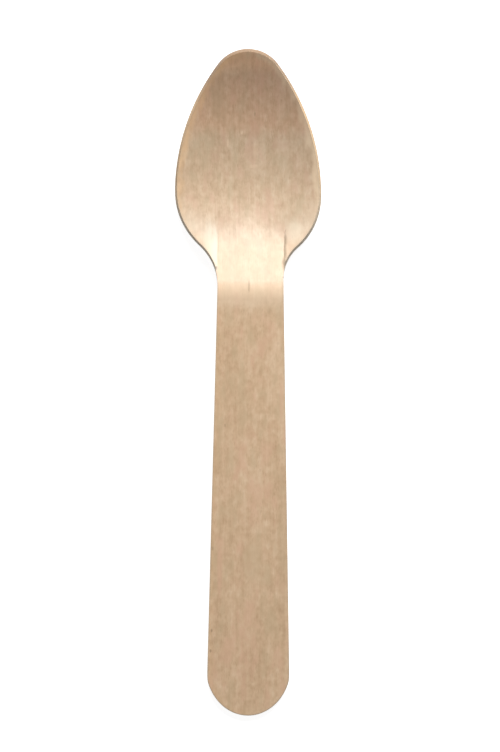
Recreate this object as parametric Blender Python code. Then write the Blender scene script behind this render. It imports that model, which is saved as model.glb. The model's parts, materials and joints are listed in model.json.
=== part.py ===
"""A disposable wooden spoon: one sheet of veneer, cut to its outline and pressed in a heated die.

The spoon lies at rest on the ground, bowl up, with its tip towards +Y and its handle towards -Y.
Positions along the spoon are measured from the tip of the bowl. Heights of the pressing are those
of the sheet's lower face, measured from the lower face of the flat handle.
"""

import math

import bmesh
import bpy
import numpy as np

MM = 0.001

# The blank, seen from above
LENGTH = 160.0 * MM
THICKNESS = 1.6 * MM
BOWL_WIDTH = 35.2 * MM
BOWL_WIDEST_AT = 34.6 * MM
TIP_RADIUS = 9.0 * MM
SHOULDER_RADIUS = 17.0 * MM
NECK_WIDTH = 15.8 * MM
LEFT_NECK_FILLET = 13.5 * MM
RIGHT_NECK_FILLET = 10.0 * MM
END_WIDTH = 19.8 * MM
END_CROWN = 8.8 * MM
END_ROUND_LENGTH = 11.9 * MM
NECK_LEAN = 0.6 * MM
EDGE_ROUNDING = 0.3 * MM

# The pressing along the middle of the spoon
BOWL_DEPTH = 7.4 * MM
BOWL_DEEPEST_AT = 30.0 * MM
HEEL_RADIUS = 42.0 * MM
NECK_BEND_RADIUS = 18.5 * MM
NECK_SLOPE = math.radians(20.0)
TIP_DROP = 0.3 * MM

# Across the bowl: how far its rim stands above its middle, and the folds that run on from the neck
WIDEST_RISE = 2.7 * MM
FOLD_FADE = 8.6 * MM

# The mesh
STRIP_FACES = 4
WING_FACES = 5
MOST_STRIP_SHARE = 0.86
TIP_BLEND = 12.0 * MM
END_BLEND = 10.0 * MM
BOWL_STEP = 1.4 * MM
NECK_STEP = 1.0 * MM
HANDLE_STEP = 30.0 * MM
ROUNDING_FACES = 2
SHARP_EDGE = math.radians(55)
LAYING_ROUNDS = 6

VENEER_COLOUR = (0.55, 0.40, 0.26, 1.0)
VENEER_ROUGHNESS = 0.6

# Sides and ends worked out from the sizes above
LEFT, RIGHT = -1, 1
HALF_BOWL = BOWL_WIDTH / 2
HALF_NECK = NECK_WIDTH / 2
HALF_END = END_WIDTH / 2

# The bowl's side is one arc that touches the tip's circle and is widest at the widest place
TIP_TO_WIDEST = BOWL_WIDEST_AT - TIP_RADIUS
SIDE_RADIUS = (TIP_TO_WIDEST**2 + HALF_BOWL**2 - TIP_RADIUS**2) / (2 * (HALF_BOWL - TIP_RADIUS))
SIDE_ARC_ANGLE = math.atan2(TIP_TO_WIDEST, SIDE_RADIUS - HALF_BOWL)
TIP_ARC_ANGLE = math.pi / 2 - SIDE_ARC_ANGLE
TIP_CORNER_AT = TIP_RADIUS * (1 - math.cos(TIP_ARC_ANGLE))
TIP_CORNER = TIP_RADIUS * math.sin(TIP_ARC_ANGLE)

# The end of the handle is part of an ellipse that meets the straight sides in two faint corners
END_CORNER_AT = LENGTH - END_CROWN
END_ROUND_AT = LENGTH - END_ROUND_LENGTH
END_CORNER_ANGLE = math.acos((END_CORNER_AT - END_ROUND_AT) / END_ROUND_LENGTH)
END_ROUND_HALF_WIDTH = HALF_END / math.sin(END_CORNER_ANGLE)

# Through the middle: toe of the bowl, heel, straight slope, bend, flat handle, each touching the next
TOE_RISE = BOWL_DEPTH - TIP_DROP
TOE_RADIUS = (BOWL_DEEPEST_AT**2 + TOE_RISE**2) / (2 * TOE_RISE)
CURVED_RISE = (HEEL_RADIUS + NECK_BEND_RADIUS) * (1 - math.cos(NECK_SLOPE))
SLOPE_START_AT = BOWL_DEEPEST_AT + HEEL_RADIUS * math.sin(NECK_SLOPE)
SLOPE_END_AT = SLOPE_START_AT + (BOWL_DEPTH - CURVED_RISE) / math.tan(NECK_SLOPE)
HANDLE_START_AT = SLOPE_END_AT + NECK_BEND_RADIUS * math.sin(NECK_SLOPE)


def smooth(value, start, end):
    """Ease from 0 at start to 1 at end."""
    share = min(1.0, max(0.0, (value - start) / (end - start)))
    return share * share * (3.0 - 2.0 * share)


def steps(start, end, step):
    """Evenly spaced positions from start up to but not including end."""
    count = max(2, round((end - start) / step))
    return [start + (end - start) * number / count for number in range(count)]


def arc(radius, away):
    """How far a circle has fallen from its crest, at a distance away from the crest."""
    return radius - math.sqrt(radius**2 - away**2)


class Edge:
    """One long edge of the blank: bowl side, shoulder, neck fillet and straight taper."""

    def __init__(self, side, fillet):
        self.side = side
        self.fillet = fillet
        between_centres = SHOULDER_RADIUS + fillet
        sideways = HALF_NECK + fillet - (HALF_BOWL - SHOULDER_RADIUS)
        along = math.sqrt(between_centres**2 - sideways**2)
        self.neck_at = BOWL_WIDEST_AT + along
        self.shoulder_end_at = BOWL_WIDEST_AT + along * SHOULDER_RADIUS / between_centres

    def half_width(self, at):
        """Distance from the centre line to the edge."""
        if at < TIP_CORNER_AT:
            return math.sqrt(TIP_RADIUS**2 - (TIP_RADIUS - at) ** 2)
        if at < BOWL_WIDEST_AT:
            return HALF_BOWL - arc(SIDE_RADIUS, BOWL_WIDEST_AT - at)
        if at < self.shoulder_end_at:
            return HALF_BOWL - arc(SHOULDER_RADIUS, at - BOWL_WIDEST_AT)
        if at < self.neck_at:
            return HALF_NECK + arc(self.fillet, self.neck_at - at)
        taper = (at - self.neck_at) / (END_CORNER_AT - self.neck_at)
        return HALF_NECK + (HALF_END - HALF_NECK) * taper

    def folded(self, at):
        """0 where the section is a plain dish, 1 where its side is a wing folded up from the strip."""
        return smooth(at, self.shoulder_end_at - FOLD_FADE, self.shoulder_end_at)


LEFT_EDGE = Edge(LEFT, LEFT_NECK_FILLET)
RIGHT_EDGE = Edge(RIGHT, RIGHT_NECK_FILLET)
NECK_AT = RIGHT_EDGE.neck_at


def centre_line(at):
    """Sideways place of the spoon's middle: the neck leans a little to the right."""
    if at < NECK_AT:
        return NECK_LEAN * smooth(at, BOWL_DEEPEST_AT, NECK_AT)
    return NECK_LEAN * (LENGTH - at) / (LENGTH - NECK_AT)


def floor_height(at):
    """Height along the middle of the spoon."""
    if at < BOWL_DEEPEST_AT:
        return arc(TOE_RADIUS, BOWL_DEEPEST_AT - at) - BOWL_DEPTH
    if at < SLOPE_START_AT:
        return arc(HEEL_RADIUS, at - BOWL_DEEPEST_AT) - BOWL_DEPTH
    if at < SLOPE_END_AT:
        slope_start = HEEL_RADIUS * (1 - math.cos(NECK_SLOPE)) - BOWL_DEPTH
        return slope_start + (at - SLOPE_START_AT) * math.tan(NECK_SLOPE)
    if at < HANDLE_START_AT:
        return -arc(NECK_BEND_RADIUS, HANDLE_START_AT - at)
    return 0.0


def rim_above_floor(at, half_width):
    """How far the rim stands above the middle: most at the widest place, and in the neck not at all."""
    if at < BOWL_WIDEST_AT:
        return WIDEST_RISE * (1 - (1 - at / BOWL_WIDEST_AT) ** 2)
    return WIDEST_RISE * (half_width - HALF_NECK) / (HALF_BOWL - HALF_NECK)


def section(across, half_width, folded):
    """Share of the rim's height at a distance from the middle."""
    dish = (across / half_width) ** 2 if across > 0.0 else 0.0
    wing = (across - HALF_NECK) / (half_width - HALF_NECK) if across > HALF_NECK else 0.0
    return (1 - folded) * dish + folded * wing


def die_height(edge, across, along):
    """Height of the die at a distance from the middle, on the side of this edge."""
    floor = floor_height(along)
    if along >= edge.neck_at:
        return floor
    half_width = edge.half_width(along)
    rise = rim_above_floor(along, half_width)
    return floor + rise * section(across, half_width, edge.folded(along))


def round_tip(share):
    """From a point of a straight first row to the tip's arc: sideways, along."""
    angle = share * TIP_ARC_ANGLE
    sideways = TIP_RADIUS * math.sin(angle) - share * TIP_CORNER
    return sideways, TIP_RADIUS * (1 - math.cos(angle)) - TIP_CORNER_AT


def round_end(share):
    """From a point of a straight last row to the rounded end of the handle: sideways, along."""
    angle = share * END_CORNER_ANGLE
    sideways = END_ROUND_HALF_WIDTH * math.sin(angle) - share * HALF_END
    return sideways, END_ROUND_AT + END_ROUND_LENGTH * math.cos(angle) - END_CORNER_AT


def distances_across(half_width):
    """Where a half row has its points: the strip that runs on from the neck, then the wing."""
    strip = min(HALF_NECK, MOST_STRIP_SHARE * half_width)
    on_strip = [strip * number / STRIP_FACES for number in range(STRIP_FACES)]
    on_wing = [strip + (half_width - strip) * number / WING_FACES for number in range(WING_FACES + 1)]
    return on_strip + on_wing


def half_row(edge, at):
    """Points of a row from the middle to one edge, for the row that meets the edge at this place."""
    to_tip = 1 - smooth(at, TIP_CORNER_AT, TIP_CORNER_AT + TIP_BLEND)
    to_end = smooth(at, END_CORNER_AT - END_BLEND, END_CORNER_AT)
    half_width = edge.half_width(at)
    points = []
    for straight in distances_across(half_width):
        tip_sideways, tip_along = round_tip(straight / half_width)
        end_sideways, end_along = round_end(straight / half_width)
        across = straight + to_tip * tip_sideways + to_end * end_sideways
        along = at + to_tip * tip_along + to_end * end_along
        points.append((centre_line(along) + edge.side * across, -along, die_height(edge, across, along)))
    return points


def row(at):
    """All points of a row, from left to right."""
    left, right = half_row(LEFT_EDGE, at), half_row(RIGHT_EDGE, at)
    return left[:0:-1] + right


def row_places():
    """Where the rows meet the edges: close together where the sheet bends."""
    return (
        steps(TIP_CORNER_AT, BOWL_WIDEST_AT, BOWL_STEP)
        + steps(BOWL_WIDEST_AT, SLOPE_START_AT, BOWL_STEP)
        + steps(SLOPE_START_AT, HANDLE_START_AT, NECK_STEP)
        + steps(HANDLE_START_AT, END_CORNER_AT - END_BLEND, HANDLE_STEP)
        + steps(END_CORNER_AT - END_BLEND, END_CORNER_AT, BOWL_STEP)
        + [END_CORNER_AT]
    )


def pressed_sheet():
    """The sheet's lower face: a grid with a row for each place, laid on the die."""
    rows = [row(at) for at in row_places()]
    shape = bmesh.new()
    grid = bmesh.ops.create_grid(shape, x_segments=len(rows[0]) - 1, y_segments=len(rows) - 1, size=1.0)
    from_tip_leftmost_first = sorted(grid["verts"], key=lambda vert: (-round(vert.co.y, 5), vert.co.x))
    for vert, point in zip(from_tip_leftmost_first, sum(rows, [])):
        vert.co = point
    mesh = bpy.data.meshes.new("spoon")
    shape.to_mesh(mesh)
    shape.free()
    return mesh


def veneer():
    """Pale, matt wood."""
    material = bpy.data.materials.new("veneer")
    material.use_nodes = True
    shader = material.node_tree.nodes["Principled BSDF"]
    shader.inputs["Base Color"].default_value = VENEER_COLOUR
    shader.inputs["Roughness"].default_value = VENEER_ROUGHNESS
    shader.inputs["Metallic"].default_value = 0.0
    return material


def make_spoon():
    """Give the pressed sheet its thickness and its tumbled edges."""
    mesh = pressed_sheet()
    mesh.materials.append(veneer())
    mesh.shade_smooth()
    spoon = bpy.data.objects.new("spoon", mesh)
    bpy.context.collection.objects.link(spoon)
    sheet = spoon.modifiers.new("sheet", "SOLIDIFY")
    sheet.thickness = THICKNESS
    sheet.offset = 1.0
    sheet.use_even_offset = True
    edges = spoon.modifiers.new("tumbled edges", "BEVEL")
    edges.width = EDGE_ROUNDING
    edges.segments = ROUNDING_FACES
    edges.limit_method = "ANGLE"
    edges.angle_limit = SHARP_EDGE
    return spoon


def finished_points(thing):
    """Every point of the object with its modifiers, in its own frame."""
    bpy.context.view_layer.update()
    mesh = thing.evaluated_get(bpy.context.evaluated_depsgraph_get()).data
    points = np.empty(len(mesh.vertices) * 3, dtype=np.float32)
    mesh.vertices.foreach_get("co", points)
    return points.reshape(-1, 3).astype(float)


def turned_about_x(points, angle):
    """The points with their +Y end lifted by an angle."""
    cosine, sine = math.cos(angle), math.sin(angle)
    return points @ np.array([[1, 0, 0], [0, cosine, sine], [0, -sine, cosine]])


def lay_down(spoon):
    """Tilt the spoon until its bowl and the end of its handle touch the ground, and centre it."""
    points = finished_points(spoon)
    in_bowl = points[:, 1] > -NECK_AT
    angle = 0.0
    for _ in range(LAYING_ROUNDS):
        turned = turned_about_x(points, angle)
        bowl, handle = turned[in_bowl], turned[~in_bowl]
        bowl_foot = bowl[bowl[:, 2].argmin()]
        handle_foot = handle[handle[:, 2].argmin()]
        angle += math.atan2(handle_foot[2] - bowl_foot[2], bowl_foot[1] - handle_foot[1])
    turned = turned_about_x(points, angle)
    low, high = turned.min(axis=0), turned.max(axis=0)
    spoon.rotation_euler = (angle, 0.0, 0.0)
    spoon.location = (-(low[0] + high[0]) / 2, -(low[1] + high[1]) / 2, -low[2])


def main():
    for thing in list(bpy.data.objects):
        bpy.data.objects.remove(thing)
    lay_down(make_spoon())


main()
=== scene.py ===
"""A disposable wooden spoon: the looks of one sheet of birch veneer, cut, pressed hot and tumbled.

The blank is drawn flat, given its thickness and its soft edges, and then pressed over the die.
Positions along the spoon are measured from the tip of the bowl, and heights from the lower face
of the flat handle. Everything is in metres.
"""

import json
import math

import bmesh
import bpy
import numpy as np
from mathutils import Matrix, Vector


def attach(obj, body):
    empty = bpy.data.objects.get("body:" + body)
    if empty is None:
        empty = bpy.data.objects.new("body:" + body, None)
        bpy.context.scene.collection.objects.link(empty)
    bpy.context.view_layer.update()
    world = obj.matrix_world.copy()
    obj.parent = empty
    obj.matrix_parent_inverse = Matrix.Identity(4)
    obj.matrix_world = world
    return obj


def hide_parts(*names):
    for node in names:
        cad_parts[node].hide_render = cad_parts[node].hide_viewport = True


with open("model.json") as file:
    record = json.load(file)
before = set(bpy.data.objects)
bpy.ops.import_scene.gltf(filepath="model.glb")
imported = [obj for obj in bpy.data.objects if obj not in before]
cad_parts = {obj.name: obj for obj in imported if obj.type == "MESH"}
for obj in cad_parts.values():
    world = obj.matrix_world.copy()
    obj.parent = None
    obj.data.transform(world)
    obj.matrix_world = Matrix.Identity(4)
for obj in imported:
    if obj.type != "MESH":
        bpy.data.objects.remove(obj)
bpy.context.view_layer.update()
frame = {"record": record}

MM = 0.001

# The blank, seen from above
LENGTH = 160.0 * MM
THICKNESS = 1.6 * MM
BOWL_WIDTH = 35.2 * MM
BOWL_WIDEST_AT = 34.6 * MM
TIP_RADIUS = 9.0 * MM
SHOULDER_RADIUS = 17.0 * MM
NECK_WIDTH = 15.8 * MM
LEFT_NECK_FILLET = 13.5 * MM
RIGHT_NECK_FILLET = 10.0 * MM
END_WIDTH = 19.8 * MM
END_CROWN = 8.8 * MM
END_ROUND_LENGTH = 11.9 * MM
NECK_LEAN = 0.6 * MM
EDGE_ROUNDING = 0.3 * MM

# The pressing along the middle, and the rim
BOWL_DEPTH = 7.4 * MM
BOWL_DEEPEST_AT = 30.0 * MM
HEEL_RADIUS = 42.0 * MM
NECK_BEND_RADIUS = 11.0 * MM
NECK_SLOPE = math.radians(20.0)
TIP_DROP = 0.3 * MM
WIDEST_RISE = 2.7 * MM
WING_CURVE = 1.3
FOLD_FADE = 8.6 * MM

# The two folds that run on from the neck into the bowl, and drift a little to the right as they go
HALF_STRIP = 8.0 * MM
STRIP_DRIFT = 0.076
DRIFT_STARTS_AT = 51.0 * MM
LEFT_FOLD_ROUNDING = 0.8 * MM
RIGHT_FOLD_ROUNDING = 0.6 * MM
LEFT_CREASE_DEPTH = 0.04 * MM
RIGHT_CREASE_DEPTH = 0.2 * MM
CREASE_AT = 48.5 * MM
CREASE_REACH = 4.5 * MM
CREASE_HALF_WIDTH = 0.35 * MM
CREASE_BEYOND_FOLD = 0.2 * MM

# The point on the handle's top face that the record's mount names
MOUNT_AT = 105.0 * MM

# A hair's lift off the ground, which keeps the sheet inside the solid's box
LIFT = 0.01 * MM

# The mesh of the blank
COLUMNS = 24
SIDE_ROWS = 22
SHOULDER_ROWS = 12
FILLET_ROWS = 10
BEND_ROWS = 8
TAPER_ROWS = 26
ROUNDING_FACES = 2
FINENESS = 2
JOIN_WITHIN = 0.01 * MM
PROBE = 0.05 * MM
OUTLINE_STEP = 0.5 * MM
END_POINTS = 60

# Sides and ends worked out from the sizes above
LEFT, RIGHT = -1, 1
HALF_BOWL = BOWL_WIDTH / 2
HALF_NECK = NECK_WIDTH / 2
HALF_END = END_WIDTH / 2
TIP_TO_WIDEST = BOWL_WIDEST_AT - TIP_RADIUS
SIDE_RADIUS = (TIP_TO_WIDEST**2 + HALF_BOWL**2 - TIP_RADIUS**2) / (2 * (HALF_BOWL - TIP_RADIUS))
SIDE_ARC_ANGLE = math.atan2(TIP_TO_WIDEST, SIDE_RADIUS - HALF_BOWL)
TIP_ARC_ANGLE = math.pi / 2 - SIDE_ARC_ANGLE
TIP_CORNER_AT = TIP_RADIUS * (1 - math.cos(TIP_ARC_ANGLE))
TIP_CORNER = TIP_RADIUS * math.sin(TIP_ARC_ANGLE)
END_CORNER_AT = LENGTH - END_CROWN
END_ROUND_AT = LENGTH - END_ROUND_LENGTH
END_CORNER_ANGLE = math.acos((END_CORNER_AT - END_ROUND_AT) / END_ROUND_LENGTH)
END_ROUND_HALF_WIDTH = HALF_END / math.sin(END_CORNER_ANGLE)
TOE_RISE = BOWL_DEPTH - TIP_DROP
TOE_RADIUS = (BOWL_DEEPEST_AT**2 + TOE_RISE**2) / (2 * TOE_RISE)
CURVED_RISE = (HEEL_RADIUS + NECK_BEND_RADIUS) * (1 - math.cos(NECK_SLOPE))
SLOPE_START_AT = BOWL_DEEPEST_AT + HEEL_RADIUS * math.sin(NECK_SLOPE)
SLOPE_END_AT = SLOPE_START_AT + (BOWL_DEPTH - CURVED_RISE) / math.tan(NECK_SLOPE)
HANDLE_START_AT = SLOPE_END_AT + NECK_BEND_RADIUS * math.sin(NECK_SLOPE)


def smooth(value, start, end):
    """Ease from 0 at start to 1 at end."""
    share = min(1.0, max(0.0, (value - start) / (end - start)))
    return share * share * (3.0 - 2.0 * share)


def arc(radius, away):
    """How far a circle has fallen from its crest, at a distance away from the crest."""
    return radius - math.sqrt(radius**2 - away**2)


def bump(value, middle, reach):
    """A round hump: 1 at the middle, fading over its reach."""
    return math.exp(-(((value - middle) / reach) ** 2))


class Edge:
    """One long edge of the blank: bowl side, shoulder, neck fillet and straight taper."""

    def __init__(self, side, fillet, fold_rounding, crease_depth):
        self.side = side
        self.crease_depth = crease_depth
        self.fillet = fillet
        self.fold_rounding = fold_rounding
        between_centres = SHOULDER_RADIUS + fillet
        sideways = HALF_NECK + fillet - (HALF_BOWL - SHOULDER_RADIUS)
        along = math.sqrt(between_centres**2 - sideways**2)
        self.turn = math.atan2(along, sideways)
        self.neck_at = BOWL_WIDEST_AT + along
        self.shoulder_end_at = BOWL_WIDEST_AT + along * SHOULDER_RADIUS / between_centres

    def half_width(self, at):
        """Distance from the centre line to the edge."""
        if at < TIP_CORNER_AT:
            return math.sqrt(max(0.0, TIP_RADIUS**2 - (TIP_RADIUS - at) ** 2))
        if at < BOWL_WIDEST_AT:
            return HALF_BOWL - arc(SIDE_RADIUS, BOWL_WIDEST_AT - at)
        if at < self.shoulder_end_at:
            return HALF_BOWL - arc(SHOULDER_RADIUS, at - BOWL_WIDEST_AT)
        if at < self.neck_at:
            return HALF_NECK + arc(self.fillet, self.neck_at - at)
        taper = (at - self.neck_at) / (END_CORNER_AT - self.neck_at)
        return HALF_NECK + (HALF_END - HALF_NECK) * taper

    def folded(self, at):
        """0 where the section is a plain dish, 1 where its side is a wing folded up from the strip."""
        return smooth(at, self.shoulder_end_at - FOLD_FADE, self.shoulder_end_at)

    def fold_across(self, at):
        """Distance from the centre line to this side's fold."""
        return HALF_STRIP + self.side * STRIP_DRIFT * (DRIFT_STARTS_AT - at)


LEFT_EDGE = Edge(LEFT, LEFT_NECK_FILLET, LEFT_FOLD_ROUNDING, LEFT_CREASE_DEPTH)
RIGHT_EDGE = Edge(RIGHT, RIGHT_NECK_FILLET, RIGHT_FOLD_ROUNDING, RIGHT_CREASE_DEPTH)
NECK_AT = RIGHT_EDGE.neck_at


def centre_line(at):
    """Sideways place of the spoon's middle: the neck leans a little to the right."""
    if at < NECK_AT:
        return NECK_LEAN * smooth(at, BOWL_DEEPEST_AT, NECK_AT)
    return NECK_LEAN * (LENGTH - at) / (LENGTH - NECK_AT)


def floor_height(at):
    """Height along the middle of the spoon."""
    if at < BOWL_DEEPEST_AT:
        return arc(TOE_RADIUS, BOWL_DEEPEST_AT - at) - BOWL_DEPTH
    if at < SLOPE_START_AT:
        return arc(HEEL_RADIUS, at - BOWL_DEEPEST_AT) - BOWL_DEPTH
    if at < SLOPE_END_AT:
        slope_start = HEEL_RADIUS * (1 - math.cos(NECK_SLOPE)) - BOWL_DEPTH
        return slope_start + (at - SLOPE_START_AT) * math.tan(NECK_SLOPE)
    if at < HANDLE_START_AT:
        return -arc(NECK_BEND_RADIUS, HANDLE_START_AT - at)
    return 0.0


def rim_above_floor(at, half_width):
    """How far the rim stands above the middle: most at the widest place, and in the neck not at all."""
    if at < BOWL_WIDEST_AT:
        return WIDEST_RISE * (1 - (1 - at / BOWL_WIDEST_AT) ** 2)
    return WIDEST_RISE * ((half_width - HALF_NECK) / (HALF_BOWL - HALF_NECK)) ** WING_CURVE


def past_fold(beyond, rounding):
    """Distance past the fold, rounded off where the sheet bends."""
    if beyond < -rounding:
        return 0.0
    if beyond > rounding:
        return beyond
    return (beyond + rounding) ** 2 / (4 * rounding)


def section(edge, across, half_width, at):
    """Share of the rim's height at a distance from the middle."""
    dish = (across / max(half_width, PROBE)) ** 2
    wing_width = max(half_width - edge.fold_across(at), edge.fold_rounding)
    wing = past_fold(across - edge.fold_across(at), edge.fold_rounding) / wing_width
    return (1 - edge.folded(at)) * dish + edge.folded(at) * wing


def die_height(sideways, along):
    """Height of the die at a place of the blank."""
    edge = LEFT_EDGE if sideways < 0.0 else RIGHT_EDGE
    floor = floor_height(along)
    if along >= edge.neck_at:
        return floor
    half_width = edge.half_width(along)
    rise = rim_above_floor(along, half_width)
    crease = edge.crease_depth * bump(along, CREASE_AT, CREASE_REACH)
    crease *= bump(abs(sideways), edge.fold_across(along) + CREASE_BEYOND_FOLD, CREASE_HALF_WIDTH)
    return floor + rise * section(edge, abs(sideways), half_width, along) - crease


def die_point(sideways, along):
    """Where the die carries a place of the blank's lower face."""
    return Vector((centre_line(along) + sideways, -along, die_height(sideways, along)))


def pressed(place):
    """Where a point of the flat blank goes: over the die, and off it along the die's normal."""
    sideways, along = place.x, min(LENGTH, max(0.0, -place.y))
    across = die_point(sideways + PROBE, along) - die_point(sideways - PROBE, along)
    ahead, behind = max(0.0, along - PROBE), min(LENGTH, along + PROBE)
    lengthwise = die_point(sideways, ahead) - die_point(sideways, behind)
    up = across.cross(lengthwise).normalized()
    return die_point(sideways, along) + up * place.z


# Drawing the blank

def edited_shape():
    return bmesh.from_edit_mesh(bpy.context.edit_object.data)


def start_piece(name):
    """An empty piece at the origin, open for modelling."""
    bpy.ops.object.select_all(action="DESELECT")
    piece = bpy.data.objects.new(name, bpy.data.meshes.new(name))
    bpy.context.collection.objects.link(piece)
    bpy.context.view_layer.objects.active = piece
    piece.select_set(True)
    bpy.ops.object.mode_set(mode="EDIT")
    return piece


def put_point(sideways, along):
    """A single point, selected: a small plane merged to its middle."""
    bpy.ops.mesh.select_all(action="DESELECT")
    bpy.ops.mesh.primitive_plane_add(size=MM, location=(sideways, -along, 0.0))
    bpy.ops.mesh.merge(type="CENTER")


def select_points(wanted):
    """Select just the points that pass a test of their place."""
    bpy.ops.mesh.select_all(action="DESELECT")
    shape = edited_shape()
    for vert in shape.verts:
        vert.select_set(wanted(vert.co))
    shape.select_flush_mode()
    bmesh.update_edit_mesh(bpy.context.edit_object.data)


def draw_arc(sideways, along, angle, rows):
    """Carry the selected point round a centre, clockwise for a positive angle."""
    bpy.ops.mesh.spin(steps=rows, angle=angle, center=(sideways, -along, 0.0), axis=(0.0, 0.0, 1.0))


def draw_straight(sideways, along, rows):
    """Extrude the selected point in equal steps over a distance."""
    step = (sideways / rows, -along / rows, 0.0)
    for _ in range(rows):
        bpy.ops.mesh.extrude_region_move(TRANSFORM_OT_translate={"value": step})


def draw_side(edge):
    """From the corner of the tip to the corner of the handle's end."""
    side = edge.side
    draw_arc(side * (HALF_BOWL - SIDE_RADIUS), BOWL_WIDEST_AT, side * SIDE_ARC_ANGLE, SIDE_ROWS)
    draw_arc(side * (HALF_BOWL - SHOULDER_RADIUS), BOWL_WIDEST_AT, side * edge.turn, SHOULDER_ROWS)
    draw_arc(side * (HALF_NECK + edge.fillet), edge.neck_at, -side * edge.turn, FILLET_ROWS)
    bend_end_at = HANDLE_START_AT + THICKNESS
    widening = side * (edge.half_width(bend_end_at) - HALF_NECK)
    draw_straight(widening, bend_end_at - edge.neck_at, BEND_ROWS)
    draw_straight(side * HALF_END - side * HALF_NECK - widening, END_CORNER_AT - bend_end_at, TAPER_ROWS)


def draw_round_end():
    """An arc squeezed to the handle's elliptical end."""
    radius = END_ROUND_HALF_WIDTH
    put_point(HALF_END, END_ROUND_AT + radius * math.cos(END_CORNER_ANGLE))
    draw_arc(0.0, END_ROUND_AT, 2 * END_CORNER_ANGLE, COLUMNS)
    middle = Vector((0.0, -END_ROUND_AT, 0.0))
    select_points(lambda co: abs((co - middle).length - radius) < JOIN_WITHIN and co.y < -END_ROUND_AT)
    squeeze = END_ROUND_LENGTH / radius
    bpy.ops.transform.resize(value=(1.0, squeeze, 1.0), center_override=middle)


def fill_outline():
    """A grid of faces between the tip's arc and the handle's end."""
    bpy.ops.mesh.select_all(action="SELECT")
    bpy.ops.mesh.remove_doubles(threshold=JOIN_WITHIN)
    bpy.ops.mesh.select_all(action="DESELECT")
    for line in edited_shape().edges:
        along = [-vert.co.y for vert in line.verts]
        in_tip = max(along) < TIP_CORNER_AT + JOIN_WITHIN
        in_end = min(along) > END_CORNER_AT - JOIN_WITHIN
        line.select_set(in_tip or in_end)
    bmesh.update_edit_mesh(bpy.context.edit_object.data)
    bpy.ops.mesh.fill_grid()


def apply_modifiers(piece):
    for modifier in list(piece.modifiers):
        bpy.ops.object.modifier_apply(modifier=modifier.name)


def flat_blank(materials):
    """The blank as it is cut: its full thickness, with tumbled edges."""
    piece = start_piece("pressed_spoon")
    for material in materials:
        piece.data.materials.append(material)
    put_point(-TIP_CORNER, TIP_CORNER_AT)
    draw_arc(0.0, TIP_RADIUS, 2 * TIP_ARC_ANGLE, COLUMNS)
    draw_side(RIGHT_EDGE)
    left_corner = Vector((-TIP_CORNER, -TIP_CORNER_AT, 0.0))
    select_points(lambda co: (co - left_corner).length < JOIN_WITHIN)
    draw_side(LEFT_EDGE)
    draw_round_end()
    fill_outline()
    bpy.ops.object.mode_set(mode="OBJECT")
    sheet = piece.modifiers.new("sheet", "SOLIDIFY")
    sheet.thickness = THICKNESS
    sheet.offset = 1.0
    sheet.material_offset_rim = 1
    edges = piece.modifiers.new("tumbled edges", "BEVEL")
    edges.width = EDGE_ROUNDING
    edges.segments = ROUNDING_FACES
    edges.limit_method = "ANGLE"
    finer = piece.modifiers.new("finer", "SUBSURF")
    finer.levels = FINENESS
    finer.render_levels = FINENESS
    apply_modifiers(piece)
    return piece


def outline_distances(places):
    """How far each point of the flat blank lies from its outline."""
    sides = [
        (edge.side * edge.half_width(at), -at)
        for edge in (LEFT_EDGE, RIGHT_EDGE)
        for at in np.arange(0.0, END_CORNER_AT, OUTLINE_STEP)
    ]
    round_end = [
        (END_ROUND_HALF_WIDTH * math.sin(angle), -END_ROUND_AT - END_ROUND_LENGTH * math.cos(angle))
        for angle in np.linspace(-END_CORNER_ANGLE, END_CORNER_ANGLE, END_POINTS)
    ]
    outline = np.array(sides + round_end)
    nearest = np.empty(len(places))
    for number, place in enumerate(places):
        nearest[number] = np.hypot(outline[:, 0] - place[0], outline[:, 1] - place[1]).min()
    return nearest


def keep_flat_places(piece):
    """Remember where each point lay in the flat blank, for the grain, and how far it is from the edge."""
    mesh = piece.data
    places = np.empty(len(mesh.vertices) * 3, dtype=np.float32)
    mesh.vertices.foreach_get("co", places)
    in_sheet = mesh.attributes.new("in_sheet", "FLOAT_VECTOR", "POINT")
    in_sheet.data.foreach_set("vector", places)
    from_edge = mesh.attributes.new("from_edge", "FLOAT", "POINT")
    from_edge.data.foreach_set("value", outline_distances(places.reshape(-1, 3)).astype(np.float32))
    corners = np.empty(len(mesh.loops), dtype=np.int32)
    mesh.loops.foreach_get("vertex_index", corners)
    flat = mesh.uv_layers.new(name="sheet")
    flat.data.foreach_set("uv", (places.reshape(-1, 3)[corners, :2] / LENGTH).ravel())


def handle_mount():
    return next(mount for mount in frame["record"]["mounts"] if mount["name"] == "handle_face")


def lying_down():
    """From the pressing's own frame to the ground: the handle's top face meets the record's mount."""
    mount = handle_mount()
    tilt = math.atan2(-mount["axis"][1], mount["axis"][2])
    turn = Matrix.Rotation(tilt, 4, "X")
    point = Vector((centre_line(MOUNT_AT), -MOUNT_AT, THICKNESS))
    lift = Vector((0.0, 0.0, LIFT))
    return Matrix.Translation(Vector(mount["pos_m"]) - turn @ point + lift) @ turn


def press(piece):
    """Press the flat blank and lay it on the ground."""
    to_ground = lying_down()
    for vert in piece.data.vertices:
        vert.co = to_ground @ pressed(vert.co)
    piece.data.shade_smooth()


def make_spoon(materials):
    piece = flat_blank(materials)
    keep_flat_places(piece)
    press(piece)
    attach(piece, "root")
    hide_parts("spoon")


# Building shader nodes

def put(tree, kind, inputs=None, **settings):
    """A node with its settings, and a value or a link for each input that is named or numbered."""
    node = tree.nodes.new(kind)
    for name, value in settings.items():
        setattr(node, name, value)
    for key, value in (inputs or {}).items():
        if isinstance(value, bpy.types.NodeSocket):
            tree.links.new(value, node.inputs[key])
        else:
            node.inputs[key].default_value = value
    return node


def maths(tree, operation, first, second=0.0, third=0.0):
    return put(tree, "ShaderNodeMath", {0: first, 1: second, 2: third}, operation=operation).outputs[0]


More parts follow.
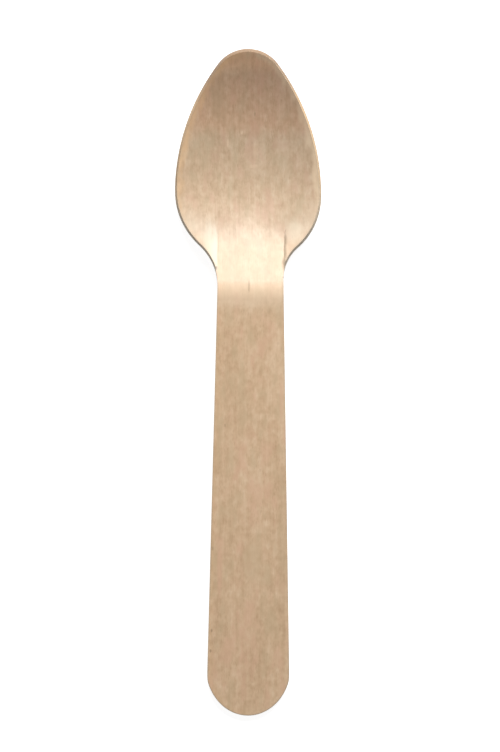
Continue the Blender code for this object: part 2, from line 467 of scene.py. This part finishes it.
def vector_maths(tree, operation, first, second):
    return put(tree, "ShaderNodeVectorMath", {0: first, 1: second}, operation=operation).outputs[0]


def rest_of(tree, share):
    """What a share leaves of 1."""
    return maths(tree, "SUBTRACT", 1.0, share)


def soft_step(tree, value, start, end):
    """0 up to the start, 1 from the end on."""
    inputs = {"Value": value, "From Min": start, "From Max": end}
    return put(tree, "ShaderNodeMapRange", inputs, interpolation_type="SMOOTHSTEP").outputs["Result"]


def blend(tree, share, first, second):
    """From the first colour to the second."""
    return put(tree, "ShaderNodeMix", {0: share, 6: first, 7: second}, data_type="RGBA").outputs[2]


def new_group(name, inputs, outputs):
    """A node group with its sockets; gives the group, its input sockets and its output node."""
    group = bpy.data.node_groups.new(name, "ShaderNodeTree")
    for way, sockets in (("INPUT", inputs), ("OUTPUT", outputs)):
        for socket_name, kind in sockets.items():
            group.interface.new_socket(socket_name, in_out=way, socket_type=f"NodeSocket{kind}")
    return group, group.nodes.new("NodeGroupInput").outputs, group.nodes.new("NodeGroupOutput")


def use(tree, group, inputs):
    """A group placed in a material or in another group."""
    return put(tree, "ShaderNodeGroup", inputs, node_tree=group).outputs


# The wood's patterns, each with its width across the grain, its length along it and its detail
BROAD_TONES = (6.0 * MM, 30.0 * MM, 1.0)
STREAKS = (0.9 * MM, 22.0 * MM, 2.0)
MOTTLING = (1.15 * MM, 1.6 * MM, 2.0)
FIBRES = (0.18 * MM, 3.0 * MM, 2.0)
HUE_PATCHES = (2.6 * MM, 7.0 * MM, 3.0)
RAGGED_ENDS = (0.8 * MM, 5.0 * MM, 3.0)
BAND_WAVES = (2.0 * MM, 5.0 * MM, 2.0)
PORE_WIDTH = 0.24 * MM
PORE_LENGTH = 1.4 * MM
PORE_SHARE = 0.4

# Where dashes, marks and bands are full, and where they have faded out, as shares of their reach
DASH_FADES = (0.1, 0.45)
MARK_FADES = (0.4, 1.1)
BAND_FADES = (0.2, 1.0)
MARK_NOISE_SCALE = 2.3
MARK_NOISE_DETAIL = 2.0

def grain_group():
    """Noise drawn out along the grain."""
    group, given, end = new_group(
        "grain",
        {"Place": "Vector", "Width": "Float", "Length": "Float", "Detail": "Float"},
        {"Grain": "Float"},
    )
    size = put(group, "ShaderNodeCombineXYZ", {0: given["Width"], 1: given["Length"], 2: given["Width"]})
    place = vector_maths(group, "DIVIDE", given["Place"], size.outputs[0])
    noise = put(group, "ShaderNodeTexNoise", {"Vector": place, "Scale": 1.0, "Detail": given["Detail"]})
    group.links.new(noise.outputs[0], end.inputs["Grain"])
    return group


def patterned(tree, grain, place, pattern):
    """One of the wood's patterns, going up and down from 0."""
    width, length, detail = pattern
    inputs = {"Place": place, "Width": width, "Length": length, "Detail": detail}
    return maths(tree, "SUBTRACT", use(tree, grain, inputs)["Grain"], 0.5)


def dash_group():
    """Short strokes along the grain: a share of the cells of a drawn-out cell pattern has one."""
    group, given, end = new_group(
        "dashes",
        {"Place": "Vector", "Width": "Float", "Length": "Float", "Share": "Float"},
        {"Dashes": "Float"},
    )
    size = put(group, "ShaderNodeCombineXYZ", {0: given["Width"], 1: given["Length"], 2: given["Width"]})
    place = vector_maths(group, "DIVIDE", given["Place"], size.outputs[0])
    cells = put(group, "ShaderNodeTexVoronoi", {"Vector": place, "Scale": 1.0})
    lot = put(group, "ShaderNodeSeparateColor", {0: cells.outputs["Color"]}).outputs[0]
    chosen = maths(group, "LESS_THAN", lot, given["Share"])
    within = rest_of(group, soft_step(group, cells.outputs["Distance"], *DASH_FADES))
    group.links.new(maths(group, "MULTIPLY", chosen, within), end.inputs["Dashes"])
    return group


def mark_group():
    """One soft, uneven mark with its middle and its reach."""
    group, given, end = new_group(
        "mark",
        {"Place": "Vector", "Middle": "Vector", "Reach": "Vector", "Wobble": "Float"},
        {"Mark": "Float"},
    )
    away = vector_maths(group, "SUBTRACT", given["Place"], given["Middle"])
    in_reaches = vector_maths(group, "DIVIDE", away, given["Reach"])
    inputs = {"Vector": in_reaches, "Scale": MARK_NOISE_SCALE, "Detail": MARK_NOISE_DETAIL}
    noise = put(group, "ShaderNodeTexNoise", inputs)
    shifted = vector_maths(group, "SUBTRACT", noise.outputs[1], (0.5, 0.5, 0.5))
    wobble = put(group, "ShaderNodeVectorMath", {0: shifted, "Scale": given["Wobble"]}, operation="SCALE")
    moved = vector_maths(group, "ADD", in_reaches, wobble.outputs[0])
    distance = put(group, "ShaderNodeVectorMath", {0: moved}, operation="LENGTH").outputs["Value"]
    group.links.new(rest_of(group, soft_step(group, distance, *MARK_FADES)), end.inputs["Mark"])
    return group


def edge_band_group(grain):
    """1 at the outline, fading out over an uneven width."""
    group, given, end = new_group(
        "edge band",
        {"Place": "Vector", "From Edge": "Float", "Width": "Float", "Unevenness": "Float"},
        {"Band": "Float"},
    )
    waves = patterned(group, grain, given["Place"], BAND_WAVES)
    wobble = maths(group, "MULTIPLY", waves, given["Unevenness"])
    share = maths(group, "ADD", maths(group, "DIVIDE", given["From Edge"], given["Width"]), wobble)
    group.links.new(rest_of(group, soft_step(group, share, *BAND_FADES)), end.inputs["Band"])
    return group


def wood_group(grain, dashes):
    """Birch: broad tones, streaks, mottling, fibres and pores, as a colour and as a relief."""
    group, given, end = new_group(
        "birch",
        {
            "Place": "Vector", "Plain": "Color", "Pale": "Color", "Dark": "Color", "Pore": "Color",
            "Tones": "Float", "Streaks": "Float", "Mottling": "Float", "Fibres": "Float", "Pores": "Float",
        },
        {"Colour": "Color", "Relief": "Float", "Streak": "Float"},
    )
    place = given["Place"]
    streak = patterned(group, grain, place, STREAKS)
    fibre = patterned(group, grain, place, FIBRES)
    tone = 0.0
    for pattern, amount in (
        (patterned(group, grain, place, BROAD_TONES), "Tones"),
        (streak, "Streaks"),
        (patterned(group, grain, place, MOTTLING), "Mottling"),
        (fibre, "Fibres"),
    ):
        tone = maths(group, "MULTIPLY_ADD", pattern, given[amount], tone)
    paler = maths(group, "MAXIMUM", tone, 0.0)
    darker = maths(group, "MAXIMUM", maths(group, "MULTIPLY", tone, -1.0), 0.0)
    pale = blend(group, paler, given["Plain"], given["Pale"])
    toned = blend(group, darker, pale, given["Dark"])
    inputs = {"Place": place, "Width": PORE_WIDTH, "Length": PORE_LENGTH, "Share": PORE_SHARE}
    pore = maths(group, "MULTIPLY", use(group, dashes, inputs)["Dashes"], given["Pores"])
    group.links.new(blend(group, pore, toned, given["Pore"]), end.inputs["Colour"])
    group.links.new(maths(group, "SUBTRACT", fibre, pore), end.inputs["Relief"])
    group.links.new(streak, end.inputs["Streak"])
    return group


# Colours of the bare wood
PLAIN = (0.645, 0.445, 0.275, 1.0)
PALE = (0.82, 0.62, 0.43, 1.0)
DARK = (0.44, 0.275, 0.15, 1.0)
PORE = (0.32, 0.19, 0.10, 1.0)
PINKISH = (0.68, 0.43, 0.28, 1.0)
OLIVE = (0.57, 0.415, 0.25, 1.0)
# The rim band: a toasted orange, lighter where the rounded rim catches the lamp, so partly painted light;
# the right side, which faces the lamp, is painted paler still
TOASTED_AND_LIT_RIM = (0.80, 0.51, 0.27, 1.0)
PAINTED_LIT_RIM = (0.86, 0.66, 0.45, 1.0)
# Soiling along the outline; round the handle's end it also stands for painted shade
SOILED_AND_SHADED = (0.38, 0.31, 0.23, 1.0)
BROWN_SPOT = (0.13, 0.08, 0.05, 1.0)
# Colour of a few small dark lines on the face
DARK_LINE = (0.30, 0.20, 0.11, 1.0)
# Painted shade for the folds' creases
PAINTED_CREASE_SHADE = (0.14, 0.09, 0.05, 1.0)
# Painted sheen: a paler colour laid where the lamp's sheen falls on the neck and wings
PAINTED_SHEEN = (0.80, 0.69, 0.52, 1.0)

# Colours of the cut edge
CUT_PLAIN = (0.52, 0.38, 0.25, 1.0)
CUT_AT_TIP = (0.25, 0.165, 0.105, 1.0)
# Along the bowl's sides the cut is orange and painted lighter, partly painted light; along the shoulders,
# which face away from the lamp, it is painted light
CUT_ORANGE_AND_LIT_AT_SIDES = (0.66, 0.46, 0.27, 1.0)
CUT_PAINTED_LIGHT_AT_SHOULDERS = (0.82, 0.70, 0.54, 1.0)

# How strongly each pattern shows on the face and on the cut edge
FACE_PATTERNS = {"Tones": 0.6, "Streaks": 0.9, "Mottling": 1.6, "Fibres": 0.6, "Pores": 0.27}
CUT_PATTERNS = {"Tones": 0.5, "Streaks": 0.5, "Mottling": 0.7, "Fibres": 1.2, "Pores": 0.6}

# The sheen and relief of the hot-pressed face, and of the cut edge
FACE_ROUGHNESS = 0.50
FACE_ROUGHNESS_CHANGE = 0.15
CREASE_ROUGHNESS_GAIN = 0.5
FACE_GLOSS = 0.90
FACE_IOR = 1.6
FACE_FIBRE_GLOSS = 0.6
FACE_RELIEF = 0.012 * MM
CUT_ROUGHNESS = 0.65
CUT_ROUGHNESS_CHANGE = 0.2
CUT_GLOSS = 0.3
CUT_RELIEF = 0.03 * MM


def wood_material(name):
    """A material with the blank's own places to draw the wood on."""
    material = bpy.data.materials.new(name)
    material.use_nodes = True
    tree = material.node_tree
    place = put(tree, "ShaderNodeAttribute", attribute_name="in_sheet").outputs["Vector"]
    from_edge = put(tree, "ShaderNodeAttribute", attribute_name="from_edge").outputs["Fac"]
    return material, tree, place, from_edge


def finish_wood(tree, colour, relief, relief_height, roughness, gloss):
    """Join the wood's colour, relief and roughness to the material's shader."""
    raised = put(tree, "ShaderNodeBump", {"Height": relief, "Distance": relief_height, "Strength": 1.0})
    shader = tree.nodes["Principled BSDF"]
    tree.links.new(colour, shader.inputs["Base Color"])
    tree.links.new(raised.outputs[0], shader.inputs["Normal"])
    tree.links.new(roughness, shader.inputs["Roughness"])
    shader.inputs["Specular IOR Level"].default_value = gloss
    return shader


# Marks on this spoon's face, in mm: place across and along, half width and half length, colour, strength
MARKS = (
    # Painted sheen: the first mark is a wide pale patch across the neck's bend, where the sheen runs on
    (0.0, 58.9, 14.0, 3.4, PALE, 0.45),
    (-0.35, 56.9, 0.35, 1.7, DARK_LINE, 0.4),
    (-8.35, 52.9, 0.5, 0.6, BROWN_SPOT, 0.8),
    (-8.75, 119.6, 0.35, 0.6, BROWN_SPOT, 0.35),
    (-8.85, 139.4, 0.30, 0.5, BROWN_SPOT, 0.45),
    (-9.1, 144.3, 0.30, 0.5, BROWN_SPOT, 0.45),
    (0.9, 122.5, 3.2, 6.5, OLIVE, 0.5),
    (-7.0, 124.5, 0.8, 8.0, PINKISH, 0.6),
    (7.9, 118.0, 1.2, 17.0, OLIVE, 0.3),
    (7.6, 84.0, 0.7, 7.0, PINKISH, 0.5),
    (1.7, 15.2, 0.3, 0.7, DARK_LINE, 0.35),
    (-1.5, 19.8, 0.3, 0.5, PALE, 0.5),
    (-5.0, 22.3, 0.3, 1.2, PALE, 0.4),
    (1.2, 28.0, 1.7, 0.6, PALE, 0.22),
    (1.9, 24.0, 0.9, 2.5, PALE, 0.22),
    (-5.9, 90.0, 0.25, 0.5, DARK_LINE, 0.4),
    # Painted sheen on the right wing
    (11.2, 44.0, 2.6, 3.4, PAINTED_SHEEN, 0.4),
)


# Tints along the spoon, partly the wood's own tone and partly painted light and shade (the tip lifted, the
# bowl darkened and greyed towards its sheen), in mm from the tip: where each starts, is full, wanes and
# ends, and its colour
TINTS_AND_PAINTED_LIGHT = (
    (-2.0, -1.0, 2.0, 6.0, (1.16, 1.04, 1.00, 1.0)),
    (2.0, 7.0, 17.0, 22.0, (0.92, 0.87, 0.88, 1.0)),
    (17.0, 22.0, 43.0, 50.0, (0.88, 0.92, 0.97, 1.0)),
)


# The folds' creases, darkened with painted shade, in mm: place across and along, half width and half length,
# strength
CREASE_SHADE_MARKS = (
    (8.74, 46.1, 0.70, 2.2, 0.60),
    (8.50, 48.9, 0.75, 2.4, 0.65),
    (8.17, 51.9, 0.75, 2.2, 0.70),
    (-7.80, 47.2, 0.34, 4.6, 0.14),
)


# How uneven the outlines of the marks and of the creases are
MARK_WOBBLE = 0.6
CREASE_WOBBLE = 0.3

# Patches of another hue: the pattern's level where they start and where they are full, and their share
HUE_STARTS = 0.5
PINKISH_FULL = 0.70
OLIVE_FULL = 0.30
HUE_SHARE = 0.6

# Painted sheen on the neck and left wing, painted paler where the lamp's sheen falls: where each starts and
# where it ends, and its share
NECK_STARTS = (44.0 * MM, 52.0 * MM)
NECK_ENDS = (57.0 * MM, 66.0 * MM)
NECK_SHARE = 0.15
NECK_START_SLANT = 0.6
RAGGEDNESS = 9.0 * MM
WING_STARTS_ACROSS = (7.5 * MM, 8.3 * MM)
WING_ENDS_ACROSS = (8.6 * MM, 14.0 * MM)
WING_STARTS_ALONG = (39.0 * MM, 47.0 * MM)
WING_ENDS_ALONG = (52.0 * MM, 55.0 * MM)
WING_SHARE = 0.85

# The rim band: toasted orange with painted light where the rounded rim catches the lamp, stronger round the
# front of the bowl, which faces the lamp, orange at the left and painted paler at the right, which also
# faces the lamp
TOASTED_AND_LIT_BAND = {"Width": 2.0 * MM, "Unevenness": 1.8}
TOASTED_AND_LIT_SHARE = 0.1
MORE_TOASTED_AND_LIT_IN_FRONT = 0.4
FRONT_ENDS = (28.0 * MM, 44.0 * MM)
RIM_TURNS_PALE = (-3.0 * MM, 3.0 * MM)

# The soiled outline, stronger round the end of the handle, where the extra dark is painted shade on the edge
# that faces away from the lamp
SOILED_AND_SHADED_LINE = {"Width": 0.45 * MM, "Unevenness": 0.6}
SOILING_SHARE = 0.3
PAINTED_SHADE_AT_END = 0.35
HANDLE_END_STARTS = (140.0 * MM, 152.0 * MM)

# Where the cut edge's colours turn into one another, from the tip on
TIP_TO_SIDES = (4.0 * MM, 16.0 * MM)
SIDES_TO_SHOULDERS = (30.0 * MM, 44.0 * MM)
SHOULDERS_TO_PLAIN = (52.0 * MM, 64.0 * MM)


def across_and_along(tree, place):
    """A place in the blank as its distance across, to the right, and its distance from the tip."""
    parts = put(tree, "ShaderNodeSeparateXYZ", {0: place}).outputs
    return parts["X"], maths(tree, "MULTIPLY", parts["Y"], -1.0)


def neck_and_wing_painted_sheen(tree, grain, place):
    """Painted sheen: the neck and its left wing are painted paler where the lamp's sheen falls on them; the
    patch ends unevenly.
    """
    across, straight_along = across_and_along(tree, place)
    ragged = maths(tree, "MULTIPLY", patterned(tree, grain, place, RAGGED_ENDS), RAGGEDNESS)
    along = maths(tree, "ADD", ragged, straight_along)
    slanted = maths(tree, "MULTIPLY_ADD", maths(tree, "ABSOLUTE", across), NECK_START_SLANT, along)
    start = soft_step(tree, slanted, *NECK_STARTS)
    end = rest_of(tree, soft_step(tree, along, *NECK_ENDS))
    neck = maths(tree, "MULTIPLY", maths(tree, "MULTIPLY", start, end), NECK_SHARE)
    left = maths(tree, "MULTIPLY", across, -1.0)
    past_fold_line = soft_step(tree, left, *WING_STARTS_ACROSS)
    wing = maths(tree, "SUBTRACT", past_fold_line, soft_step(tree, left, *WING_ENDS_ACROSS))
    wing = maths(tree, "MULTIPLY", wing, soft_step(tree, along, *WING_STARTS_ALONG))
    wing = maths(tree, "MULTIPLY", wing, rest_of(tree, soft_step(tree, along, *WING_ENDS_ALONG)))
    return maths(tree, "MAXIMUM", neck, maths(tree, "MULTIPLY", wing, WING_SHARE))


def hue_patches(tree, grain, place, colour):
    """Patches of a pinkish and of an olive hue."""
    width, length, detail = HUE_PATCHES
    inputs = {"Place": place, "Width": width, "Length": length, "Detail": detail}
    hue = use(tree, grain, inputs)["Grain"]
    for full, patch in ((PINKISH_FULL, PINKISH), (OLIVE_FULL, OLIVE)):
        share = maths(tree, "MULTIPLY", soft_step(tree, hue, HUE_STARTS, full), HUE_SHARE)
        colour = blend(tree, share, colour, patch)
    return colour


def tinted_and_lit_along(tree, along, colour):
    """The colour with the tints that come and go along the spoon, partly painted light and shade."""
    for rise_from, rise_to, fall_from, fall_to, tint in TINTS_AND_PAINTED_LIGHT:
        rise = soft_step(tree, along, rise_from * MM, rise_to * MM)
        fall = rest_of(tree, soft_step(tree, along, fall_from * MM, fall_to * MM))
        inputs = {0: maths(tree, "MULTIPLY", rise, fall), 6: colour, 7: tint}
        colour = put(tree, "ShaderNodeMix", inputs, data_type="RGBA", blend_type="MULTIPLY").outputs[2]
    return colour


def mark_on_face(tree, mark, place, size, wobble):
    """One mark on the top face, from its place across and along and its half width and half length in mm."""
    across, along, half_width, half_length = size
    return use(tree, mark, {
        "Place": place,
        "Middle": (across * MM, -along * MM, THICKNESS),
        "Reach": (half_width * MM, half_length * MM, THICKNESS / 2),
        "Wobble": wobble,
    })["Mark"]


def crease_shade_on_face(tree, mark, place):
    """How strongly the painted shade of the folds' creases shows."""
    crease_shade = 0.0
    for *size, strength in CREASE_SHADE_MARKS:
        shape = mark_on_face(tree, mark, place, size, CREASE_WOBBLE)
        crease_shade = maths(tree, "MULTIPLY_ADD", shape, strength, crease_shade)
    return maths(tree, "MINIMUM", crease_shade, 1.0)


def banded(tree, edge_band, place, from_edge, band, share):
    """An uneven band along the outline, at a share of its strength."""
    inputs = {"Place": place, "From Edge": from_edge, **band}
    return maths(tree, "MULTIPLY", use(tree, edge_band, inputs)["Band"], share)


def rim_light_and_edge_shade(tree, edge_band, place, from_edge, colour):
    """The bowl's rim band, toasted and partly painted light, and the thin dark line all round, soiled and
    with painted shade round the handle's end.
    """
    across, along = across_and_along(tree, place)
    front = rest_of(tree, soft_step(tree, along, *FRONT_ENDS))
    share = maths(tree, "MULTIPLY_ADD", front, MORE_TOASTED_AND_LIT_IN_FRONT, TOASTED_AND_LIT_SHARE)
    toasted_and_lit = banded(tree, edge_band, place, from_edge, TOASTED_AND_LIT_BAND, share)
    # Painted light on the rim: orange at the left, painted paler at the right, which faces the lamp
    rim = blend(tree, soft_step(tree, across, *RIM_TURNS_PALE), TOASTED_AND_LIT_RIM, PAINTED_LIT_RIM)
    colour = blend(tree, toasted_and_lit, colour, rim)
    # Painted shade: the dark line grows round the handle's end, which faces away from the lamp
    end = soft_step(tree, along, *HANDLE_END_STARTS)
    share = maths(tree, "MULTIPLY_ADD", end, PAINTED_SHADE_AT_END, SOILING_SHARE)
    soiled_and_shaded = banded(tree, edge_band, place, from_edge, SOILED_AND_SHADED_LINE, share)
    return blend(tree, soiled_and_shaded, colour, SOILED_AND_SHADED)


def veneer_face(birch, grain, mark, edge_band):
    """The pressed face: smooth, with a sheen that runs across the grain."""
    material, tree, place, from_edge = wood_material("veneer face")
    inputs = {"Place": place, "Plain": PLAIN, "Pale": PALE, "Dark": DARK, "Pore": PORE, **FACE_PATTERNS}
    wood = use(tree, birch, inputs)
    colour = hue_patches(tree, grain, place, wood["Colour"])
    # Painted sheen: the neck and left wing painted paler
    colour = blend(tree, neck_and_wing_painted_sheen(tree, grain, place), colour, PAINTED_SHEEN)
    _, along = across_and_along(tree, place)
    colour = tinted_and_lit_along(tree, along, colour)
    for *size, mark_colour, strength in MARKS:
        shape = mark_on_face(tree, mark, place, size, MARK_WOBBLE)
        colour = blend(tree, maths(tree, "MULTIPLY", shape, strength), colour, mark_colour)
    crease_shade = crease_shade_on_face(tree, mark, place)
    # Painted shade in the folds' creases; the same mask makes them rougher below
    colour = blend(tree, crease_shade, colour, PAINTED_CREASE_SHADE)
    colour = rim_light_and_edge_shade(tree, edge_band, place, from_edge, colour)
    roughness = maths(tree, "MULTIPLY_ADD", wood["Streak"], FACE_ROUGHNESS_CHANGE, FACE_ROUGHNESS)
    roughness = maths(tree, "MULTIPLY_ADD", crease_shade, CREASE_ROUGHNESS_GAIN, roughness)
    shader = finish_wood(tree, colour, wood["Relief"], FACE_RELIEF, roughness, FACE_GLOSS)
    shader.inputs["Anisotropic"].default_value = FACE_FIBRE_GLOSS
    shader.inputs["IOR"].default_value = FACE_IOR
    tangent = put(tree, "ShaderNodeTangent", direction_type="UV_MAP", uv_map="sheet")
    tree.links.new(tangent.outputs[0], shader.inputs["Tangent"])
    return material


def cut_edge(birch):
    """The knife's cut, rubbed and soiled by tumbling: toasted at the tip, orange and partly painted light
    along the bowl's sides, and painted light along the shoulders, which face away from the lamp.
    """
    material, tree, place, _ = wood_material("cut edge")
    _, along = across_and_along(tree, place)
    plain = CUT_AT_TIP
    for turns, next_colour in (
        (TIP_TO_SIDES, CUT_ORANGE_AND_LIT_AT_SIDES),
        (SIDES_TO_SHOULDERS, CUT_PAINTED_LIGHT_AT_SHOULDERS),
        (SHOULDERS_TO_PLAIN, CUT_PLAIN),
    ):
        plain = blend(tree, soft_step(tree, along, *turns), plain, next_colour)
    inputs = {"Place": place, "Plain": plain, "Pale": PALE, "Dark": DARK, "Pore": PORE, **CUT_PATTERNS}
    wood = use(tree, birch, inputs)
    roughness = maths(tree, "MULTIPLY_ADD", wood["Streak"], CUT_ROUGHNESS_CHANGE, CUT_ROUGHNESS)
    finish_wood(tree, wood["Colour"], wood["Relief"], CUT_RELIEF, roughness, CUT_GLOSS)
    return material


# The camera looks straight down, with the tip at the top of the picture
LENS = 200.0
SENSOR = 36.0
PICTURE_HEIGHT = 180.3 * MM
PICTURE_MIDDLE = (0.43 * MM, 1.78 * MM, 4.5 * MM)


def look_down():
    data = bpy.data.cameras.new("camera")
    data.lens = LENS
    data.sensor_width = SENSOR
    data.clip_start = 10 * MM
    camera = bpy.data.objects.new("camera", data)
    bpy.context.collection.objects.link(camera)
    away = PICTURE_HEIGHT * LENS / SENSOR
    camera.location = Vector(PICTURE_MIDDLE) + Vector((0.0, 0.0, away))
    bpy.context.scene.camera = camera


# Soft light from beyond the tip
LIGHT_HEADING = math.radians(11.0)
LIGHT_ELEVATION = math.radians(34.5)
LIGHT_AWAY = 1.0
LIGHT_SIZE = 0.6
LIGHT_LEVEL = 1.80
AMBIENT = 0.15
WHITE = (1.0, 1.0, 1.0, 1.0)
WALL_FADES_FROM = 0.1
WALL_FADES_TO = 0.5


def lamp(name, heading, elevation, away, size, level):
    """A square lamp that shows a white surface facing it at a level of brightness."""
    data = bpy.data.lights.new(name, "AREA")
    data.size = size
    data.energy = level * math.pi**2 * away**2
    light = bpy.data.objects.new(name, data)
    bpy.context.collection.objects.link(light)
    towards = Vector((
        math.sin(heading) * math.cos(elevation),
        math.cos(heading) * math.cos(elevation),
        math.sin(elevation),
    ))
    light.location = towards * away
    light.rotation_mode = "QUATERNION"
    light.rotation_quaternion = towards.to_track_quat("Z", "Y")
    light.visible_camera = False


def seen_ray(tree):
    """1 for a ray that shows the background itself: to the camera, in a gloss or through glass."""
    path = tree.nodes.new("ShaderNodeLightPath").outputs
    camera_or_gloss = maths(tree, "MAXIMUM", path["Is Camera Ray"], path["Is Glossy Ray"])
    return maths(tree, "MAXIMUM", camera_or_gloss, path["Is Transmission Ray"])


def make_world():
    """Pale walls and a dim ceiling; what is lit by them gets only a little."""
    world = bpy.data.worlds.new("studio")
    world.use_nodes = True
    tree = world.node_tree
    direction = tree.nodes.new("ShaderNodeTexCoord").outputs["Generated"]
    height = put(tree, "ShaderNodeSeparateXYZ", {0: direction}).outputs["Z"]
    wall = rest_of(tree, soft_step(tree, height, WALL_FADES_FROM, WALL_FADES_TO))
    seen_wall = maths(tree, "MULTIPLY", wall, seen_ray(tree))
    strength = maths(tree, "MULTIPLY_ADD", seen_wall, 1.0 - AMBIENT, AMBIENT)
    background = tree.nodes["Background"]
    background.inputs["Color"].default_value = WHITE
    tree.links.new(strength, background.inputs["Strength"])
    bpy.context.scene.world = world


# White paper under the spoon
FLOOR_SIZE = 6.0
FLOOR_BELOW = 0.02 * MM
FLOOR_COLOUR = (0.50, 0.50, 0.50, 1.0)
FLOOR_GLOW = 0.90


def make_floor():
    bpy.ops.object.select_all(action="DESELECT")
    bpy.ops.mesh.primitive_plane_add(size=FLOOR_SIZE, location=(0.0, 0.0, -FLOOR_BELOW))
    floor = bpy.context.object
    floor.name = "floor"
    material = bpy.data.materials.new("white paper floor")
    material.use_nodes = True
    tree = material.node_tree
    shader = tree.nodes["Principled BSDF"]
    shader.inputs["Base Color"].default_value = FLOOR_COLOUR
    shader.inputs["Roughness"].default_value = 1.0
    shader.inputs["Specular IOR Level"].default_value = 0.0
    shader.inputs["Emission Color"].default_value = WHITE
    tree.links.new(maths(tree, "MULTIPLY", seen_ray(tree), FLOOR_GLOW), shader.inputs["Emission Strength"])
    material.cycles.emission_sampling = "NONE"
    floor.data.materials.append(material)


grain = grain_group()
birch = wood_group(grain, dash_group())
edge_band = edge_band_group(grain)
make_spoon((veneer_face(birch, grain, mark_group(), edge_band), cut_edge(birch)))
make_floor()
make_world()
lamp("window", LIGHT_HEADING, LIGHT_ELEVATION, LIGHT_AWAY, LIGHT_SIZE, LIGHT_LEVEL)
look_down()
bpy.context.scene.view_settings.view_transform = "Standard"
